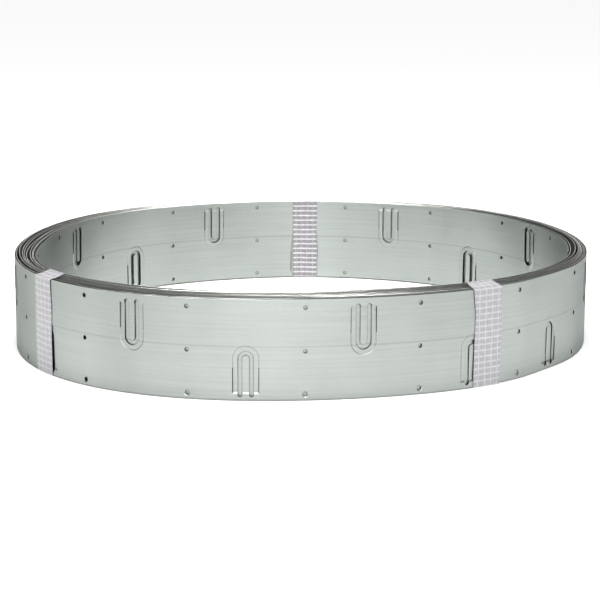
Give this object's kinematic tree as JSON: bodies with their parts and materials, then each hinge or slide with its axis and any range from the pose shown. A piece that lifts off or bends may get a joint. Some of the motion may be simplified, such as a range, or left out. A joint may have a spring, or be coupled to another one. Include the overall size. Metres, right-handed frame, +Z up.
{
  "type": "steel coil",
  "caption": "Open coil of thin zinc-coated steel strip, pierced with nail holes and U-shaped lugs, wound with its eye upright and tied with thread-reinforced tape.",
  "frame": {"origin": "centre of the coil's footprint, on the floor that its ties stand on", "axes": "+Z up along the axis of the eye, -Y to the front, +X to the right as seen from the front"},
  "size_m": [0.644, 0.6444, 0.1053],
  "materials": {
    "zinc_coated_steel": "satin zinc coating with faint rolling streaks",
    "filament_tape": "clear film with a grid of white glass threads"
  },
  "bodies": {
    "root": {"strip_coil": "zinc_coated_steel", "tape_tie_back": "filament_tape", "tape_tie_left": "filament_tape", "tape_tie_right": "filament_tape"}
  },
  "joints": []
}
